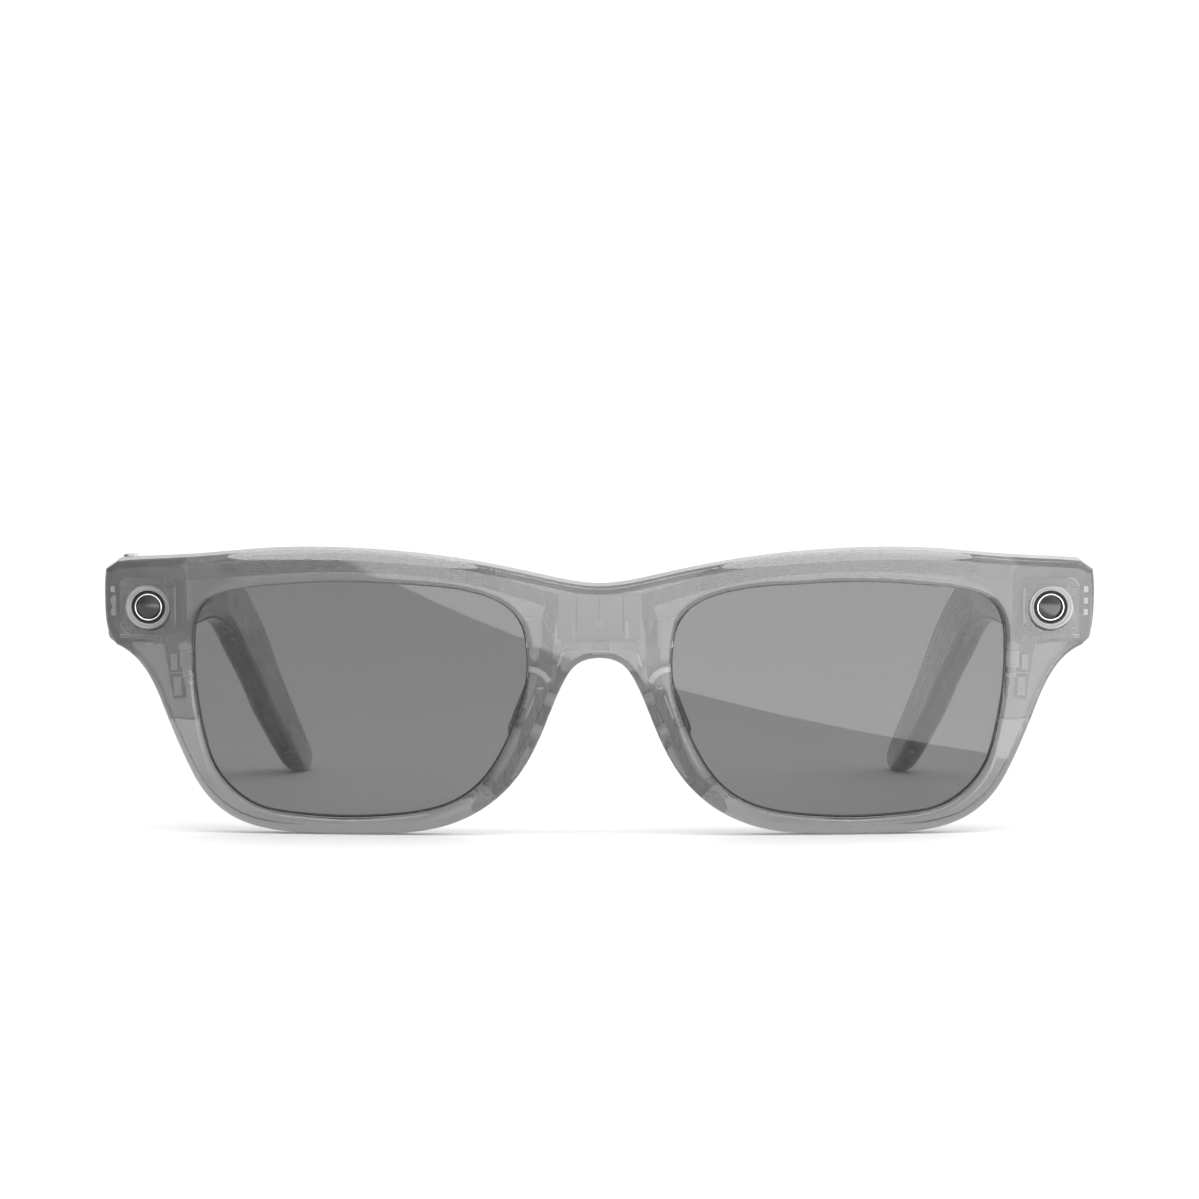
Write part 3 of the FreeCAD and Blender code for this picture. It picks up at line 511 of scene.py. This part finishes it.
class GLASSES_OT_nose_insides(bpy.types.Operator):
    """Run the moulded bands, light lines and bosses down each nose side"""
    bl_idname = "glasses.nose_insides"
    bl_label = "Nose Insides"

    def execute(self, context):
        level = middle("charging_contact_left").z
        runs = (
            # points as (across, rise), radius, flatness, depth, finish
            (((10.5, -6.5), (9.4, -6.75), (8.4, -7.4), (7.6, -8.5)), 0.5, 0.3, 1.1, 1),
            (((5.6, -4.1), (6.0, -5.1), (6.4, -6.2)), 0.2, 0.6, 0.9, 1),
            (((9.75, -10.5), (10.4, -12.2), (11.15, -14.0)), 0.11, 1.0, 0.7, 1),
            (((8.5, -9.3), (9.0, -9.5), (9.5, -9.4)), 0.14, 1.0, 0.8, 1),
            (((7.4, -9.6), (8.6, -12.4), (10.2, -15.8), (12.3, -19.4)), 0.13, 1.0, 1.5, 2),
            (((11.2, -14.9), (11.9, -15.2), (12.6, -15.0)), 0.16, 1.0, 1.1, 2),
            (((12.3, -15.6), (13.2, -18.2), (14.6, -21.0), (16.2, -23.4)), 0.75, 0.15, 1.5, 0),
            (((7.2, -10.2), (7.9, -12.0)), 0.7, 0.15, 1.1, 0),
            (((9.3, -15.0), (10.2, -16.8)), 0.7, 0.15, 1.1, 0),
        )
        for side, sign in SIDES:
            bm = bmesh.new()
            for points, radius, flat, depth, index in runs:
                spots = [face_point("front_frame", sign * x * MM, level + z * MM, depth * MM)
                         for x, z in points]
                tube(bm, spots, radius * MM, 8, flat=flat, index=index)
            boss = face_point("front_frame", sign * 17.3 * MM, level - 25.6 * MM, 2.4 * MM)
            rings = [(0, 0.3), (0.3, 0.3), (0.34, 0.1), (0.6, 0.12), (0.7, 0.4), (0.9, 0.4), (0.95, 0)]
            turned(bm, millimetres(rings), boss, -BACK, 24, 1)
            piece("nose_insides_" + side, bm, "front",
                  ["pale film", "white guide", "dark film"])
        return {"FINISHED"}


# ------------------------------------------------------------------ pieces in the temples
class GLASSES_OT_board_parts(bpy.types.Operator):
    """Set two rows of small parts along the main board"""
    bl_idname = "glasses.board_parts"
    bl_label = "Board Parts"

    def execute(self, context):
        low, high = (Vector(c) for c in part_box("temple_right_main_board"))
        along = Vector((math.sin(TOE), math.cos(TOE), 0))
        out = Vector((-along.y, along.x, 0))
        axes = (out, along, Vector((0, 0, 1)))
        start = Vector((low.x + 0.3 * MM, low.y, 0))
        first, pitch = 1.4, 2.0
        bm = bmesh.new()
        for n in range(14):
            for row, z in ((0, low.z + 0.6 * MM), (1, high.z - 0.6 * MM)):
                if (n + row) % 4 == 3:
                    continue
                centre = start + along * ((first + pitch * n) * MM) + out * (0.35 * MM)
                centre.z = z
                length = (0.9, 0.6, 1.1)[(n + row) % 3] * MM
                block(bm, centre, (0.45 * MM, length, 0.5 * MM), axes, 0.05 * MM, n % 3)
        piece("board_parts", bm, "temple_right",
              ["module black", "battery wrap", "pale film"])
        return {"FINISHED"}


class GLASSES_OT_battery_details(bpy.types.Operator):
    """Wrap the battery with its tape bands and solder tabs"""
    bl_idname = "glasses.battery_details"
    bl_label = "Battery Details"

    def execute(self, context):
        low, high = (Vector(c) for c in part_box("temple_left_battery"))
        along = Vector((-math.sin(TOE), math.cos(TOE), 0))
        out = Vector((along.y, -along.x, 0))
        axes = (out, along, Vector((0, 0, 1)))
        centre = (low + high) / 2
        bm = bmesh.new()
        length, height = high.y - low.y, high.z - low.z
        for share in (-0.42, 0.0, 0.42):
            block(bm, centre + along * (share * length), (3.11 * MM, 1.2 * MM, height + 0.06 * MM), axes,
                  0.1 * MM, 0)
        for z in (-1.4, 1.4):
            block(bm, centre - along * (length / 2 + 0.6 * MM) + Vector((0, 0, z * MM)),
                  (0.25 * MM, 1.6 * MM, 1.1 * MM), axes, 0.05 * MM, 1)
        piece("battery_bands", bm, "temple_left", ["dark film", "gold plate"])
        return {"FINISHED"}


class GLASSES_OT_speaker_cones(bpy.types.Operator):
    """Add the round diaphragm to each speaker box"""
    bl_idname = "glasses.speaker_cones"
    bl_label = "Speaker Cones"

    def execute(self, context):
        for side, sign in SIDES:
            low, high = (Vector(c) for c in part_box(f"temple_{side}_speaker"))
            centre = (low + high) / 2
            outer = Vector((sign, 0, 0))
            origin = Vector((sign * max(abs(low.x), abs(high.x)) - sign * 0.55 * MM, centre.y, centre.z))
            bm = bmesh.new()
            cone = [(0, 0.28), (0.5, 0.24), (0.9, 0.05), (1.3, 0.1), (1.6, 0.24), (1.75, 0.2), (1.8, 0)]
            turned(bm, millimetres(cone), origin, outer, 40)
            piece("speaker_cone_" + side, bm, f"temple_{side}", ["smoke film"])
        return {"FINISHED"}


# ------------------------------------------------------------------ stage
def soft_light(name, size, power):
    """A rectangular soft light, still to be placed."""
    lamp = bpy.data.lights.new(name, "AREA")
    lamp.shape = "RECTANGLE"
    lamp.size, lamp.size_y = size
    lamp.energy = power
    holder = bpy.data.objects.new(name, lamp)
    bpy.context.scene.collection.objects.link(holder)
    return holder


class GLASSES_OT_stage(bpy.types.Operator):
    """Set the pale table, the soft light and the camera"""
    bl_idname = "glasses.stage"
    bl_label = "Stage"

    def execute(self, context):
        scene = context.scene
        look = scene.glasses_stage
        bm = bmesh.new()
        bmesh.ops.create_grid(bm, x_segments=8, y_segments=8, size=6.0,
                              matrix=Matrix.Translation((0, 2.0, CAD_LOW.z - 0.00003)))
        mesh = bpy.data.meshes.new("table_top")
        bm.to_mesh(mesh)
        bm.free()
        floor = bpy.data.objects.new("table_top", mesh)
        scene.collection.objects.link(floor)
        mesh.materials.append(finish("table", look.floor_color, 0.6, grain=300, bump=0.01, spread=0.01))
        world = bpy.data.worlds.new("pale room")
        scene.world = world
        world.use_nodes = True
        nodes, links = world.node_tree.nodes, world.node_tree.links
        where = nodes.new("ShaderNodeTexCoord")
        split = nodes.new("ShaderNodeSeparateXYZ")
        sweep = nodes.new("ShaderNodeMapRange")
        sweep.inputs["From Min"].default_value = -0.8
        sweep.inputs["From Max"].default_value = 0.8
        sweep.inputs["To Min"].default_value = look.room - look.sweep
        sweep.inputs["To Max"].default_value = look.room + look.sweep
        links.new(where.outputs["Generated"], split.inputs["Vector"])
        links.new(split.outputs["X"], sweep.inputs["Value"])
        links.new(sweep.outputs["Result"], nodes["Background"].inputs["Strength"])
        nodes["Background"].inputs["Color"].default_value = (1, 1, 1, 1)
        width, depth = 0.5, 0.3
        panel = soft_light("table_panel", (width, depth), look.panel * math.pi * width * depth)
        panel.location = (0.13, CAD_LOW.y - 0.164, CAD_LOW.z + 0.0005)
        panel.rotation_euler = (math.pi, 0, math.radians(35))
        place = Vector((0.03, CAD_LOW.y - 0.14, 0.50))
        aim = Vector((0.02, CAD_LOW.y, 0.04))
        softbox = soft_light("top_softbox", (0.60, 0.12), 1.1)
        softbox.location = place
        softbox.rotation_euler = (aim - place).to_track_quat("-Z", "Y").to_euler()
        data = bpy.data.cameras.new("camera")
        data.sensor_width = 36.0
        data.lens = look.focal
        data.clip_start, data.clip_end = 0.01, 50.0
        camera = bpy.data.objects.new("camera", data)
        scene.collection.objects.link(camera)
        camera.location = (0, CAD_LOW.y - look.distance, look.height)
        camera.rotation_euler = (math.pi / 2 - look.pitch, 0, 0)
        scene.camera = camera
        scene.view_settings.view_transform = "Standard"
        return {"FINISHED"}


class GLASSES_PT_panel(bpy.types.Panel):
    """Lists every piece of the glasses"""
    bl_idname = "GLASSES_PT_panel"
    bl_label = "Smart Glasses"
    bl_space_type = "VIEW_3D"
    bl_region_type = "UI"
    bl_category = "Smart Glasses"

    def draw(self, context):
        for step in STEPS:
            self.layout.operator(step.bl_idname)
        for group in ("glasses_stage", "glasses_finish", "glasses_detail"):
            settings = getattr(context.scene, group)
            box = self.layout.box()
            for name in settings.__annotations__:
                box.prop(settings, name)


GROUPS = (
    ("glasses_stage", GlassesStage), ("glasses_finish", GlassesFinish), ("glasses_detail", GlassesDetail),
)
STEPS = (
    GLASSES_OT_finishes, GLASSES_OT_lens_seals, GLASSES_OT_camera_trims, GLASSES_OT_end_piece_insides,
    GLASSES_OT_flex_traces, GLASSES_OT_bridge_insides, GLASSES_OT_nose_insides, GLASSES_OT_board_parts,
    GLASSES_OT_battery_details, GLASSES_OT_speaker_cones, GLASSES_OT_stage,
)


def register():
    for name, group in GROUPS:
        bpy.utils.register_class(group)
        setattr(bpy.types.Scene, name, bpy.props.PointerProperty(type=group))
    for step in STEPS + (GLASSES_PT_panel,):
        bpy.utils.register_class(step)


def unregister():
    for step in reversed(STEPS + (GLASSES_PT_panel,)):
        bpy.utils.unregister_class(step)
    for name, group in reversed(GROUPS):
        delattr(bpy.types.Scene, name)
        bpy.utils.unregister_class(group)


def main():
    register()
    for step in STEPS:
        group, name = step.bl_idname.split(".")
        getattr(getattr(bpy.ops, group), name)()


if __name__ == "__main__":
    main()
